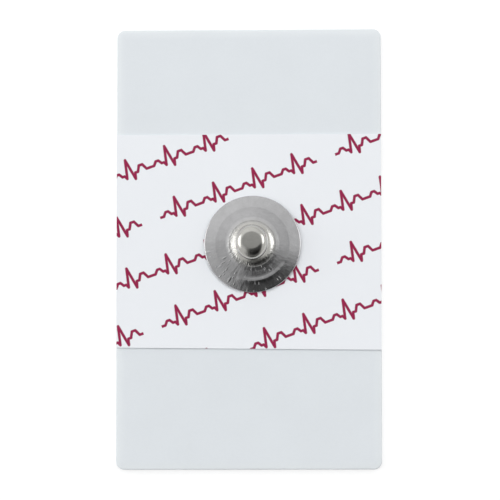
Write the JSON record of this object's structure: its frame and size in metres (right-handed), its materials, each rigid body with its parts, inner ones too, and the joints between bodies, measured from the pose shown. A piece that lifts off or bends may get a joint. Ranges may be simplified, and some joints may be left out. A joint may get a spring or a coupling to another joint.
{
  "type": "ecg electrode",
  "caption": "Single-use ECG electrode: foam sheet on a release film with a printed label band, a metal snap stud, and a sensor eyelet and gel pad in its well.",
  "frame": {"origin": "middle of the release film's underside, on the surface that the electrode lies on", "axes": "+Z out through the snap stud, +Y along the sheet's length, +X across its width"},
  "size_m": [0.033, 0.055, 0.0053],
  "materials": {
    "liner_film": "clear siliconed film",
    "foam": "closed-cell foam, pale grey-white",
    "gel": "wet translucent gel",
    "sensor_coat": "silver-coated moulding, dull grey",
    "label_film": "satin white film with crimson print",
    "stud_metal": "bright drawn metal with faint draw marks"
  },
  "bodies": {
    "root": {"release_liner": "liner_film", "foam_backing": "foam", "gel_pad": "gel", "sensor_eyelet": "sensor_coat", "printed_label": "label_film", "snap_stud": "stud_metal"}
  },
  "joints": []
}
